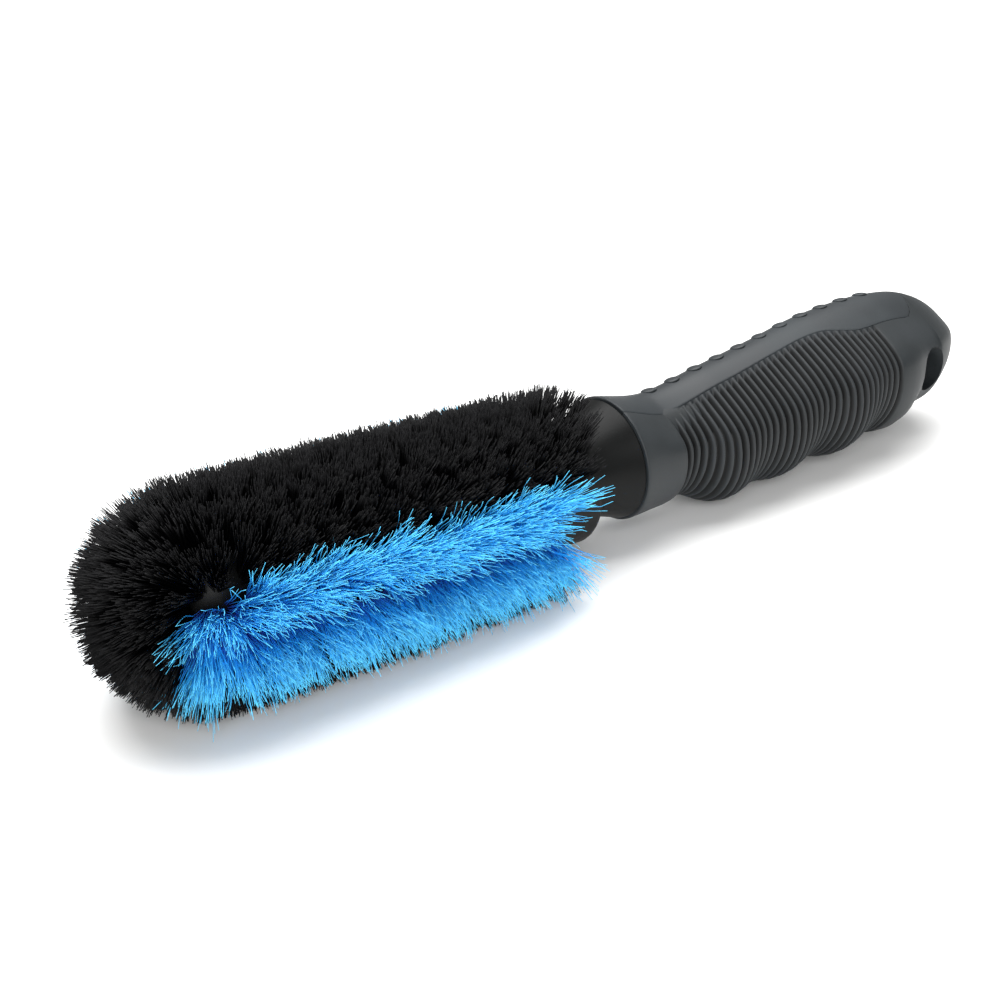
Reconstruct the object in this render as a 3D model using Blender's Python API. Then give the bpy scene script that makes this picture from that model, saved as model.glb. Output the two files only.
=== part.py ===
"""Wheel brush: a moulded core with a drilled bristle block, a ribbed soft grip and staple-set bristle rows.

Frame: metres, +Z up, +X from the bristle nose to the end of the handle.
The head is symmetric in the XZ plane. The grip is symmetric too, but it is turned about its own axis.
The origin is under the middle of the brush, on the surface that it lies on.
The handle's axis is level, and the head rises slightly from it towards the nose.
Each bristle row is one closed solid: tapered tufts that stand in the block's holes and merge where they flare.
"""
import bmesh
import bpy
from math import cos, degrees, pi, radians, sin, sqrt, tan
from mathutils import Matrix, Vector
import numpy as np

MM = 0.001

# Driving dimensions, in millimetres
GAP = 0.3                # clearance between pieces that touch
AXIS_HEIGHT = 21.4       # handle axis above the surface that the brush lies on
GRIP_LENGTH = 129.0      # soft grip, front edge to the end of the dome
GRIP_WALL = 3.6          # soft layer over the core's tang
HEAD_RISE = 3.9          # degrees that the head's axis rises towards the nose
HEAD_DROP = 4.0          # head's axis below the handle's axis, at the grip's front edge
NOSE_REACH = 140.0       # grip's front edge to the tips of the nose bristles
BLOCK_REAR = 9.0         # grip's front edge to the rear face of the bristle block
BLOCK_CENTRE_DROP = 1.5  # block's centre line below the head's axis
BLOCK_HALF_WIDTH = 11.5
BLOCK_HALF_HEIGHT = 14.0
NOSE_DOME = 12.0         # length of the block's dome
NOSE_BRISTLE = 18.0      # length of the bristles on the tip of the dome
NOSE_CENTRE = NOSE_REACH - NOSE_BRISTLE - NOSE_DOME   # grip's front edge to the dome's centre
REAR_ROUND = 3.0         # rounding of the block's rear edge
NECK_RADIUS = 15.3       # where the neck meets the grip
NECK_WAIST = 11.5        # where the neck runs into the block
NECK_TAPER = 13.0        # length of the neck's flare
COLLAR_RADIUS = 16.0     # grip at its front edge
BLACK_RADIUS = 25.0      # trimmed envelope of the stiff black bristles, from the head's axis
BLUE_RADIUS = 28.0       # trimmed envelope of the soft blue bristles, from the head's axis
UNDER_RADIUS = 27.0      # black bristles underneath, before they are cut level with the surface
TUFT_PITCH = 8.0
TUFT_HOLE = 2.2          # diameter drilled in the block
TUFT_HOLE_DEPTH = 3.6
TUFT_NECK = 2.5          # height above the block at which neighbouring tufts merge
TUFT_FLARE = 4.4         # tuft diameter at that height
FIRST_ROOT = 20.0        # grip's front edge to the rearmost tuft of each row
TOP_SPLAY = 6.0          # how far the rearmost tips of the top rows lean back over the neck
BLUE_SPLAY = -3.0        # the soft rows lean forward there and leave the neck clear
RIB_COUNT = 34
RIB_PITCH = 2.25
FIRST_GROOVE = 15.6      # grip's front edge to the first groove
GROOVE_DEPTH = 1.1
GROOVE_WIDTH = 1.0
GROOVE_RUN_OUT = 1.0     # length over which a groove runs out beside the top strip
FINGER_PITCH = 21.7      # spacing of the finger rolls under the grip
FINGER_ROLL = 2.0        # depth of the hollows between them
FIRST_HOLLOW = 20.4      # grip's front edge to the first hollow
HOLLOW_START = 8.0       # where the hollows begin to fade in
HOLLOW_STOP = 112.0      # where they have faded out
HOLLOW_FADE = 8.0        # length of each fade
STRIP_SHOULDER = 104.0   # grip's front edge to where the top strip starts to close
STRIP_END = 112.0
STRIP_DEPTH = 1.6
DOT_COUNT = 11
DOT_DIAMETER = 4.2
DOT_HEIGHT = 0.6
DOT_SIDES = 8
FIRST_DOT = 17.5
DOT_PITCH = 8.15
TANG_END = GRIP_LENGTH - 31.0      # the core ends this far before the end of the grip
HANG_HOLE_X = GRIP_LENGTH - 21.0   # grip's front edge to the centre of the hanging hole
HANG_HOLE_LENGTH = 9.0   # along the handle
HANG_HOLE_HEIGHT = 11.5
HANG_HOLE_DROP = 4.5     # hole's centre below the handle's axis
TAIL_LENGTH = 22.0       # length over which the rear dome closes
GRIP_ROLL = 18.0         # degrees that the grip is turned about its axis, its top away from the near side
CROWN_PINCH = 0.38       # how much narrower than an oval the grip's top is
CROWN_SPREAD = 0.45      # how far down the sides that narrowing reaches
PINCH_START = 15.0       # grip's front edge to where the narrowing is complete
SIDE_HOLLOW = 1.35       # how far the finger hollows bite into the sides, as a share of their depth

# Outline of the grip: distance from its front edge, half width, height above and below the axis
GRIP_OUTLINE = (
    (0.0, COLLAR_RADIUS, COLLAR_RADIUS, COLLAR_RADIUS),
    (15.0, 14.4, 12.9, 16.4),
    (35.0, 17.5, 14.7, 21.2),
    (55.0, 18.5, 16.8, 20.4),
    (75.0, 20.3, 19.1, 20.2),
    (95.0, 19.6, 19.5, 19.1),
    (108.0, 16.8, 18.2, 16.2),
    (GRIP_LENGTH, 12.0, 14.0, 9.0),
)

# Outline of the smooth top strip: distance from the grip's front edge, half width
STRIP_EDGE = (
    (-2.0, 10.5),
    (8.0, 8.9),
    (18.0, 7.9),
    (40.0, 7.8),
    (62.0, 7.5),
    (73.0, 8.4),
    (84.0, 11.2),
    (95.0, 11.2),
    (STRIP_SHOULDER, 10.8),
)

# Bristle rows round the block: name, angle of the row from the -Y side, half of its sector, kind
ROWS = (
    ("black_row_top_centre", 90.0, 13.0, "top"),
    ("black_row_top_left", 62.0, 13.0, "top"),
    ("black_row_top_right", 118.0, 13.0, "top"),
    ("black_row_shoulder_left", 34.0, 13.0, "top"),
    ("black_row_shoulder_right", 146.0, 13.0, "top"),
    ("blue_row_upper_left", 7.0, 12.0, "blue"),
    ("blue_row_upper_right", 173.0, 12.0, "blue"),
    ("blue_row_lower_left", -19.0, 12.0, "blue"),
    ("blue_row_lower_right", 199.0, 12.0, "blue"),
    ("black_row_under_left", -47.0, 14.0, "under"),
    ("black_row_under_right", 227.0, 14.0, "under"),
    ("black_row_under_centre", -90.0, 27.0, "under"),
)
NOSE_LATITUDE = 35.0      # degrees forward of the row tufts that stand on the dome
CAP_LATITUDE = 66.0       # degrees forward of the ring of nose tufts
ROW_END_LATITUDE = 50.0   # where the rows stop and the nose tufts take over
CENTRE_TUFT_LATITUDE = 77.0
CROWN_LATITUDE = 86.0     # edge of the flat end of the centre tuft
CENTRE_TUFT_SIDES = 12
NOSE_TUFT_COUNT = 6

SHIFT_X = (NOSE_REACH - GRIP_LENGTH) / 2   # puts the origin under the middle of the brush
ROUND_STEPS = 24
TUFT_SIDES = 5
SHARP_FROM = 35.0         # degrees between faces from which an edge is drawn sharp
GUIDE_REACH = 30.0        # half length of the guide that cuts the hanging hole


def clear_scene():
    for old in list(bpy.data.objects):
        bpy.data.objects.remove(old, do_unlink=True)


def finish(name, rgb, roughness):
    """A Principled material, or the one made before under the same name."""
    made = bpy.data.materials.get(name)
    if made:
        return made
    made = bpy.data.materials.new(name)
    made.use_nodes = True
    shader = made.node_tree.nodes["Principled BSDF"]
    shader.inputs["Base Color"].default_value = (*rgb, 1.0)
    shader.inputs["Roughness"].default_value = roughness
    shader.inputs["Metallic"].default_value = 0.0
    return made


def frame_empty(name, parent=None, location=(0, 0, 0), tilt=0.0, roll=0.0):
    empty = bpy.data.objects.new(name, None)
    bpy.context.scene.collection.objects.link(empty)
    empty.parent = parent
    empty.location = Vector(location) * MM
    empty.rotation_euler = (radians(roll), radians(tilt), 0.0)
    return empty


def place(name, mesh, parent, material=None):
    body = bpy.data.objects.new(name, mesh)
    bpy.context.scene.collection.objects.link(body)
    body.parent = parent
    if material:
        mesh.materials.append(material)
    mesh.shade_smooth()
    mesh.set_sharp_from_angle(angle=radians(SHARP_FROM))
    return body


def as_mesh(name, bm):
    bmesh.ops.recalc_face_normals(bm, faces=bm.faces[:])
    bmesh.ops.scale(bm, vec=(MM, MM, MM), verts=bm.verts[:])
    mesh = bpy.data.meshes.new(name)
    bm.to_mesh(mesh)
    bm.free()
    return mesh


def loft(name, rings, split=False):
    """Closed body through rings of equal point counts, with the two end rings filled.

    Split faces have their diagonals in the same place in every body, so two nested bodies keep their clearance.
    """
    bm = bmesh.new()
    loops = [[bm.verts.new(p) for p in ring] for ring in rings]
    count = len(loops[0])
    for a, b in zip(loops, loops[1:]):
        for i in range(count):
            j = (i + 1) % count
            if split:
                bm.faces.new((a[i], a[j], b[j]))
                bm.faces.new((a[i], b[j], b[i]))
            else:
                bm.faces.new((a[i], a[j], b[j], b[i]))
    bm.faces.new(loops[0][::-1])
    bm.faces.new(loops[-1])
    return as_mesh(name, bm)


def cut(body, cutter, operation="DIFFERENCE"):
    """Boolean of a body with a guide object, which stays out of the build."""
    cutter.hide_render = True
    cutter.display_type = "WIRE"
    step = body.modifiers.new(operation.title(), "BOOLEAN")
    step.operation = operation
    step.solver = "EXACT"
    step.object = cutter


def smooth_curve(points, x):
    """Natural-looking curve through (x, value) pairs: cubic Hermite with averaged slopes."""
    xs = [p[0] for p in points]
    ys = [p[1] for p in points]
    k = min(max(np.searchsorted(xs, x) - 1, 0), len(xs) - 2)

    def slope(i):
        low, high = max(i - 1, 0), min(i + 1, len(xs) - 1)
        return (ys[high] - ys[low]) / (xs[high] - xs[low])

    span = xs[k + 1] - xs[k]
    t = (x - xs[k]) / span
    return ((2 * t**3 - 3 * t**2 + 1) * ys[k] + (t**3 - 2 * t**2 + t) * span * slope(k)
            + (3 * t**2 - 2 * t**3) * ys[k + 1] + (t**3 - t**2) * span * slope(k + 1))


# ---------------------------------------------------------------- grip outline

def dome_factor(x):
    """1 along the grip, falling to 0 over the rounded tail."""
    s = min(max((x - (GRIP_LENGTH - TAIL_LENGTH)) / TAIL_LENGTH, 0.0), 1.0)
    return max(1.0 - s**2.4, 0.0) ** (1 / 2.4)


def finger_hollow(x):
    """Depth of the hollows between the finger rolls, faded out at both ends of the grip."""
    phase = 2 * pi * (x - FIRST_HOLLOW) / FINGER_PITCH
    fade_in = min(max((x - HOLLOW_START) / HOLLOW_FADE, 0.0), 1.0)
    fade_out = min(max((HOLLOW_STOP - x) / HOLLOW_FADE, 0.0), 1.0)
    return FINGER_ROLL * fade_in * fade_out * (0.5 + 0.5 * cos(phase))


def strip_half_width(x, grow=0.0):
    """Half width of the smooth top strip, which closes in a round end at the tail."""
    edge = smooth_curve(STRIP_EDGE, min(max(x, STRIP_EDGE[0][0]), STRIP_SHOULDER)) + grow
    turn = min(max((x - STRIP_SHOULDER) / (STRIP_END + grow - STRIP_SHOULDER), 0.0), 1.0)
    return edge * sqrt(1.0 - turn**2)


def groove_depth(x, y, height):
    """Depth of the rib grooves, which run out before they reach the smooth strip on top."""
    index = round((x - FIRST_GROOVE) / RIB_PITCH)
    offset = abs(x - FIRST_GROOVE - index * RIB_PITCH)
    if index < 0 or index >= RIB_COUNT or offset > GROOVE_WIDTH / 4:
        return 0.0
    if height < 0.0:
        return GROOVE_DEPTH
    return GROOVE_DEPTH * min(max((abs(y) - strip_half_width(x) - GAP) / GROOVE_RUN_OUT, 0.0), 1.0)


def grip_ring(x, steps=ROUND_STEPS, grooves=False, inset=0.0, fingers=True):
    """Section of the grip at x, from the -Y side over the top."""
    half_width = smooth_curve([(p[0], p[1]) for p in GRIP_OUTLINE], x) - inset
    above = smooth_curve([(p[0], p[2]) for p in GRIP_OUTLINE], x) - inset
    below = smooth_curve([(p[0], p[3]) for p in GRIP_OUTLINE], x) - inset
    centre, half_height = (above - below) / 2, (above + below) / 2
    hollow = finger_hollow(x) if fingers else FINGER_ROLL
    close = dome_factor(x)
    ring = []
    for i in range(steps):
        angle = 2 * pi * (i + 0.5) / steps
        c, s = cos(angle), sin(angle)
        low = min(max(0.35 - 0.8 * s, 0.0), 1.0)
        high = max(s, 0.0)**2
        pinch = CROWN_PINCH * min(x / PINCH_START, 1.0) * (1.0 + CROWN_SPREAD) * high / (CROWN_SPREAD + high)
        y = -(half_width - SIDE_HOLLOW * hollow * low) * c * (1.0 - pinch)
        depth = groove_depth(x, y, s) if grooves else 0.0
        y += depth * c * (1.0 - pinch)
        z = centre + (half_height - depth) * s + hollow * max(-s, 0.0)
        ring.append(Vector((x, y * close, centre + (z - centre) * close)))
    return ring


# ---------------------------------------------------------------- bristle block

def block_point(x_back, angle, inset=0.0):
    """Point of the block's straight part at a row angle, in the head's frame."""
    a = radians(angle)
    return Vector((-x_back, -(BLOCK_HALF_WIDTH - inset) * cos(a),
                   (BLOCK_HALF_HEIGHT - inset) * sin(a) - BLOCK_CENTRE_DROP))


def dome_point(latitude, angle, rise=0.0):
    """Point of the block's nose at a latitude forward of its centre, raised off the surface."""
    a, b = radians(angle), radians(latitude)
    return Vector((-NOSE_CENTRE - (NOSE_DOME + rise) * sin(b),
                   -(BLOCK_HALF_WIDTH + rise) * cos(a) * cos(b),
                   (BLOCK_HALF_HEIGHT + rise) * sin(a) * cos(b) - BLOCK_CENTRE_DROP))


def envelope_point(latitude, angle, x_back, radius):
    """Trimmed end of a bristle, on the ray from the block to the widest round envelope.

    The rays are the same for every row, so neighbours of different length keep their clearance.
    Bristles that would pass the surface underneath are cut off level with it.
    """
    a, b = radians(angle), radians(latitude)
    root = dome_point(latitude, angle, TUFT_NECK)
    root.x += NOSE_CENTRE - x_back
    reach = NOSE_REACH / cos(radians(HEAD_RISE)) - NOSE_CENTRE
    widest = Vector((-x_back - reach * sin(b), -BLUE_RADIUS * cos(a) * cos(b), BLUE_RADIUS * sin(a) * cos(b)))
    full = BLUE_RADIUS - (BLOCK_HALF_WIDTH + TUFT_NECK)
    share = (radius + (BLUE_RADIUS - radius) * sin(b) - (BLOCK_HALF_WIDTH + TUFT_NECK)) / full
    point = root.lerp(widest, share)
    floor = floor_height(point.x)
    if point.z < floor:
        point = root.lerp(widest, (floor - root.z) / (widest.z - root.z))
    return point


def floor_height(x):
    """Height in the head's frame of the surface under the brush."""
    return (HEAD_DROP - AXIS_HEIGHT) / cos(radians(HEAD_RISE)) + x * tan(radians(HEAD_RISE))


# Trimmed envelope of each kind of row, and how far its rearmost tips lean back
ROW_RADIUS = {"top": BLACK_RADIUS, "blue": BLUE_RADIUS, "under": UNDER_RADIUS}
ROW_SPLAY = {"top": TOP_SPLAY, "blue": BLUE_SPLAY, "under": 0.0}


def stations():
    """Along a row: (distance back from the grip, latitude), straight part and then the dome."""
    count = 3
    straight = [(FIRST_ROOT + (NOSE_CENTRE - FIRST_ROOT) * i / count, 0.0) for i in range(count + 1)]
    dome = [(NOSE_CENTRE, ROW_END_LATITUDE * i / 3) for i in (1, 2, 3)]
    return straight + dome


def row_body(name, angle, half, radius, splay):
    """Sector of merged bristles from just above the block out to the trimmed envelope."""
    edge = degrees(GAP / 2 / (BLOCK_HALF_WIDTH + TUFT_NECK))
    steps = 5
    angles = [angle + (half - edge) * (2 * i / (steps - 1) - 1) for i in range(steps)]
    rings = []
    for k, (x_back, latitude) in enumerate(stations()):
        inner, outer = [], []
        for a in angles:
            root = dome_point(latitude, a, TUFT_NECK)
            root.x += NOSE_CENTRE - x_back
            tip = envelope_point(latitude, a, x_back, radius)
            if k == 0:
                root.x += TUFT_HOLE / 2
                tip.x += splay
            inner.append(root)
            outer.append(tip)
        rings.append(inner + outer[::-1])
    return loft(name, rings)


def tuft_frame(root, normal):
    """Matrix that stands a shape, modelled along +Z, on a root point along the block's normal."""
    return Matrix.Translation(root) @ normal.to_track_quat("Z", "Y").to_matrix().to_4x4()


def block_normal(latitude, angle):
    a, b = radians(angle), radians(latitude)
    return Vector((-sin(b) / NOSE_DOME, -cos(a) * cos(b) / BLOCK_HALF_WIDTH,
                   sin(a) * cos(b) / BLOCK_HALF_HEIGHT)).normalized()


def row_roots(angle):
    """Root point and direction of every tuft of a row, with one more on the dome."""
    count = int((NOSE_CENTRE - FIRST_ROOT) / TUFT_PITCH) + 1
    roots = []
    for i in range(count):
        point = dome_point(0.0, angle)
        point.x = -FIRST_ROOT - i * TUFT_PITCH
        roots.append((point, block_normal(0.0, angle)))
    roots.append((dome_point(NOSE_LATITUDE, angle), block_normal(NOSE_LATITUDE, angle)))
    return roots


def nose_roots():
    roots = [(dome_point(90.0, 0.0), block_normal(90.0, 0.0))]
    for i in range(NOSE_TUFT_COUNT):
        angle = 360.0 * (i + 0.5) / NOSE_TUFT_COUNT
        roots.append((dome_point(CAP_LATITUDE, angle), block_normal(CAP_LATITUDE, angle)))
    return roots


def tuft_foot(bm, root, normal, top=TUFT_NECK + 0.6):
    """Tuft: a shank in its hole and a flaring cone up to where the tufts merge."""
    shank = TUFT_HOLE / 2 - GAP
    profile = ((-TUFT_HOLE_DEPTH + GAP, shank), (0.0, shank), (top, TUFT_FLARE / 2))
    frame = tuft_frame(root, normal)
    loops = []
    for height, radius in profile:
        loops.append([bm.verts.new(frame @ Vector((radius * cos(2 * pi * i / TUFT_SIDES),
                                                   radius * sin(2 * pi * i / TUFT_SIDES), height)))
                      for i in range(TUFT_SIDES)])
    for a, b in zip(loops, loops[1:]):
        for i in range(TUFT_SIDES):
            j = (i + 1) % TUFT_SIDES
            bm.faces.new((a[i], a[j], b[j], b[i]))
    bm.faces.new(loops[0][::-1])
    bm.faces.new(loops[-1])


def hole_cutter(bm, root, normal):
    frame = tuft_frame(root, normal)
    radius = TUFT_HOLE / 2
    loops = [[bm.verts.new(frame @ Vector((radius * cos(2 * pi * i / TUFT_SIDES),
                                           radius * sin(2 * pi * i / TUFT_SIDES), height)))
              for i in range(TUFT_SIDES)] for height in (-TUFT_HOLE_DEPTH, 1.5)]
    for i in range(TUFT_SIDES):
        j = (i + 1) % TUFT_SIDES
        bm.faces.new((loops[0][i], loops[0][j], loops[1][j], loops[1][i]))
    bm.faces.new(loops[0][::-1])
    bm.faces.new(loops[1])


# ---------------------------------------------------------------- pieces

def make_core(grip_frame, head, material):
    """Block, neck and tang: one stiff moulding."""
    rings = []
    corner = 3
    for i in range(corner + 1):
        turn = pi / 2 * i / corner
        inset = REAR_ROUND * (1 - sin(turn))
        x_back = BLOCK_REAR + REAR_ROUND * (1 - cos(turn))
        rings.append([block_point(x_back, 360.0 * k / ROUND_STEPS, inset) for k in range(ROUND_STEPS)])
    for latitude in (0.0, 18.0, 36.0, 54.0, 70.0, 82.0):
        rings.append([dome_point(latitude, 360.0 * k / ROUND_STEPS) for k in range(ROUND_STEPS)])
    block = place("brush_core", loft("brush_core", rings), head, material)

    def neck_ring(x, radius):
        return [Vector((x, -radius * cos(2 * pi * k / ROUND_STEPS), radius * sin(2 * pi * k / ROUND_STEPS)))
                for k in range(ROUND_STEPS)]

    neck = []
    flare_steps = 4
    for i in range(flare_steps + 1):
        t = i / flare_steps
        radius = NECK_WAIST + (NECK_RADIUS - NECK_WAIST) * t**1.3
        neck.append(neck_ring(-NECK_TAPER + (NECK_TAPER - GAP) * t, radius))
    neck.insert(0, neck_ring(-NECK_TAPER - 1.2, NECK_WAIST - 3.0))
    neck += tang_rings(0.0)
    neck_body = place("neck_guide", loft("neck_guide", neck, split=True), grip_frame)
    cut(block, neck_body, "UNION")

    bm = bmesh.new()
    for _, angle, _, _ in ROWS:
        for root, normal in row_roots(angle):
            hole_cutter(bm, root, normal)
    for root, normal in nose_roots():
        hole_cutter(bm, root, normal)
    cut(block, place("hole_guide", as_mesh("hole_guide", bm), head))
    return block


def tang_rings(clearance):
    """The core inside the grip, or with a clearance the socket that takes it."""
    xs = [-GAP, 7.0, 15.0, 30.0, 45.0, 60.0, 75.0, 90.0, TANG_END - 4.0]
    if clearance > 0.0:
        xs = [-2.0] + xs
    rings = [grip_ring(max(x, 0.0), inset=GRIP_WALL - clearance, fingers=False) for x in xs]
    for ring, x in zip(rings, xs):
        for point in ring:
            point.x = x
    end = [Vector((TANG_END + clearance, p.y * 0.7, p.z * 0.7)) for p in rings[-1]]
    return rings + [end]


def strip_outline(grow):
    """Plan of the smooth top strip: open at the grip's front edge, waisted, and round at the tail."""
    side = [-1.0, 4.0, 9.0, 14.0, 20.0, 30.0, 45.0, 60.0, 68.0, 74.0, 79.0, 84.0, 90.0, 97.0, STRIP_SHOULDER]
    steps = 6
    reach = STRIP_END + grow - STRIP_SHOULDER
    side += [STRIP_SHOULDER + reach * sin(pi / 2 * (i + 1) / steps) for i in range(steps - 1)]
    near = [(x, strip_half_width(x, grow)) for x in side]
    far = [(x, -y) for x, y in reversed(near)]
    return near + [(STRIP_END + grow, 0.0)] + far


def strip_prism(name, grow, parent):
    bottom, top = 4.0, 40.0
    plan = strip_outline(grow)
    rings = [[Vector((x, y, z)) for x, y in plan] for z in (bottom, top)]
    return place(name, loft(name, rings), parent)


def smooth_grip_mesh(name, drop):
    """The grip's outer shape without its ribs, lowered to be the floor of the strip's pocket."""
    xs = np.concatenate([np.linspace(0.0, GRIP_LENGTH - TAIL_LENGTH, 19),
                         GRIP_LENGTH - TAIL_LENGTH + TAIL_LENGTH * np.sin(np.linspace(0.2, 1.5, 7))])
    rings = [grip_ring(x, steps=28) for x in xs]
    for ring in rings:
        for point in ring:
            point.z -= drop
    return loft(name, rings)


def make_strip(grip_frame, material):
    strip = place("grip_top_strip", smooth_grip_mesh("grip_top_strip", 0.0), grip_frame, material)
    cut(strip, strip_prism("strip_plan_guide", 0.0, grip_frame), "INTERSECT")
    floor = place("strip_floor_guide", smooth_grip_mesh("strip_floor_guide", STRIP_DEPTH), grip_frame)
    cut(strip, floor)
    bm = bmesh.new()
    for i in range(DOT_COUNT):
        x = FIRST_DOT + i * DOT_PITCH
        top = smooth_curve([(p[0], p[2]) for p in GRIP_OUTLINE], x)
        rings = ((-STRIP_DEPTH / 2, 1.0), (DOT_HEIGHT / 3, 0.95), (DOT_HEIGHT, 0.5))
        loops = [[bm.verts.new((x + DOT_DIAMETER / 2 * share * cos(2 * pi * k / DOT_SIDES),
                                DOT_DIAMETER / 2 * share * sin(2 * pi * k / DOT_SIDES), top + height))
                  for k in range(DOT_SIDES)] for height, share in rings]
        for a, b in zip(loops, loops[1:]):
            for k in range(DOT_SIDES):
                j = (k + 1) % DOT_SIDES
                bm.faces.new((a[k], a[j], b[j], b[k]))
        bm.faces.new(loops[0][::-1])
        bm.faces.new(loops[-1])
    cut(strip, place("dot_guide", as_mesh("dot_guide", bm), grip_frame), "UNION")
    return strip


def make_grip(grip_frame, material):
    """Ribbed soft overmould with a socket for the tang, a pocket for the strip and a hanging hole."""
    xs = [0.0, 0.5, 4.0, 8.0, 12.0]
    for i in range(RIB_COUNT):
        x = FIRST_GROOVE + i * RIB_PITCH
        xs += [x - GROOVE_WIDTH / 2, x, x + GROOVE_WIDTH / 2]
    tail_start = GRIP_LENGTH - TAIL_LENGTH
    xs += [x for x in (tail_start - 12.0, tail_start - 8.0, tail_start - 4.0) if x > xs[-1] + 1.0]
    xs += [tail_start + TAIL_LENGTH * sin(turn) for turn in np.linspace(0.0, 1.5, 10)]
    rings = [grip_ring(x, steps=20, grooves=True) for x in xs]
    grip = place("soft_grip", loft("soft_grip", rings), grip_frame, material)
    socket = place("socket_guide", loft("socket_guide", tang_rings(GAP), split=True), grip_frame)
    cut(grip, socket)

    pocket = strip_prism("pocket_guide", GAP, grip_frame)
    floor = place("pocket_floor_guide", smooth_grip_mesh("pocket_floor_guide", STRIP_DEPTH + GAP), grip_frame)
    cut(pocket, floor)
    cut(grip, pocket)

    bm = bmesh.new()
    sides = 12
    centre = -HANG_HOLE_DROP
    reach = HANG_HOLE_LENGTH / 2 / cos(pi / sides)
    height = HANG_HOLE_HEIGHT / 2 / cos(pi / sides)
    loops = [[bm.verts.new((HANG_HOLE_X + reach * cos(2 * pi * (k + 0.5) / sides), y,
                            centre + height * sin(2 * pi * (k + 0.5) / sides)))
              for k in range(sides)] for y in (-GUIDE_REACH, GUIDE_REACH)]
    for k in range(sides):
        j = (k + 1) % sides
        bm.faces.new((loops[0][k], loops[0][j], loops[1][j], loops[1][k]))
    bm.faces.new(loops[0][::-1])
    bm.faces.new(loops[1])
    cut(grip, place("hanging_hole_guide", as_mesh("hanging_hole_guide", bm), grip_frame))
    return grip


def make_row(head, name, angle, half, kind, material):
    body = row_body(name, angle, half, ROW_RADIUS[kind], ROW_SPLAY[kind])
    row = place(name, body, head, material)
    bm = bmesh.new()
    for root, normal in row_roots(angle):
        tuft_foot(bm, root, normal)
    cut(row, place(name + "_feet_guide", as_mesh(name + "_feet_guide", bm), head), "UNION")
    return row


def nose_tuft_body(name, angles, latitudes, radius):
    """Merged end of one nose tuft between two latitudes."""
    rings = []
    for latitude in latitudes:
        inner = [dome_point(latitude, a, TUFT_NECK) for a in angles]
        outer = [envelope_point(latitude, a, NOSE_CENTRE, radius) for a in angles]
        rings.append(inner + outer[::-1])
    return loft(name, rings)


def make_nose(head, material):
    roots = nose_roots()
    margin = degrees(GAP / 2 / (BLOCK_HALF_WIDTH + TUFT_NECK))
    around = [360.0 * k / CENTRE_TUFT_SIDES for k in range(CENTRE_TUFT_SIDES)]
    low = CENTRE_TUFT_LATITUDE + margin
    inner = [dome_point(low, a, TUFT_NECK) for a in around]
    outer = [envelope_point(low, a, NOSE_CENTRE, BLACK_RADIUS) for a in around]
    crown = [envelope_point(CROWN_LATITUDE, a, NOSE_CENTRE, BLACK_RADIUS) for a in around]
    centre = place("nose_tuft_centre", loft("nose_tuft_centre", [inner, outer, crown]), head, material)
    bm = bmesh.new()
    tuft_foot(bm, *roots[0])
    cut(centre, place("nose_tuft_centre_foot_guide", as_mesh("nose_tuft_centre_foot_guide", bm), head), "UNION")
    made = [centre]
    for i in range(NOSE_TUFT_COUNT):
        name = f"nose_tuft_{i + 1}"
        start, width = 360.0 * i / NOSE_TUFT_COUNT, 360.0 / NOSE_TUFT_COUNT
        side = degrees(GAP / 2 / ((BLOCK_HALF_WIDTH + TUFT_NECK) * cos(radians(CENTRE_TUFT_LATITUDE))))
        angles = [start + side + (width - 2 * side) * k / 4 for k in range(5)]
        first = ROW_END_LATITUDE + 2 * margin
        last = CENTRE_TUFT_LATITUDE - margin
        latitudes = [first + (last - first) * k / 3 for k in range(4)]
        radius = BLACK_RADIUS if i < NOSE_TUFT_COUNT / 2 else UNDER_RADIUS
        tuft = place(name, nose_tuft_body(name, angles, latitudes, radius), head, material)
        bm = bmesh.new()
        tuft_foot(bm, *roots[i + 1])
        cut(tuft, place(name + "_foot_guide", as_mesh(name + "_foot_guide", bm), head), "UNION")
        made.append(tuft)
    return made


def main():
    clear_scene()
    polypropylene = finish("Black polypropylene", (0.008, 0.008, 0.009), 0.42)
    soft_rubber = finish("Dark grey soft rubber", (0.040, 0.044, 0.047), 0.55)
    strip_rubber = finish("Smooth grey soft rubber", (0.055, 0.060, 0.064), 0.5)
    black_filament = finish("Black nylon bristle", (0.006, 0.006, 0.007), 0.35)
    blue_filament = finish("Blue soft bristle", (0.012, 0.33, 0.80), 0.45)

    brush = frame_empty("brush_frame", location=(SHIFT_X, 0.0, AXIS_HEIGHT))
    head = frame_empty("head_frame", parent=brush, location=(0.0, 0.0, -HEAD_DROP), tilt=HEAD_RISE)
    grip_frame = frame_empty("grip_frame", parent=brush, roll=-GRIP_ROLL)
    make_core(grip_frame, head, polypropylene)
    make_grip(grip_frame, soft_rubber)
    make_strip(grip_frame, strip_rubber)
    for name, angle, half, kind in ROWS:
        make_row(head, name, angle, half, kind, blue_filament if kind == "blue" else black_filament)
    make_nose(head, black_filament)


main()
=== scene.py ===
# %% [markdown]
# # Wheel brush
#
# This notebook dresses a hand brush for cleaning car wheels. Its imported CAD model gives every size:
# a stiff black core with a bristle block at one end, a ribbed soft grip with a smooth strip on top,
# and twelve rows of bristles round the block with seven tufts on its nose.
# The core, grip and strip are modelled again in full detail, and the bristles are grown filament
# by filament with Geometry Nodes, where the CAD only has one plain solid for each row.

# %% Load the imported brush
from math import cos, pi, radians, sin, sqrt, tan

import bmesh
import bpy
import numpy as np
from mathutils import Matrix, Vector


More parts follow.
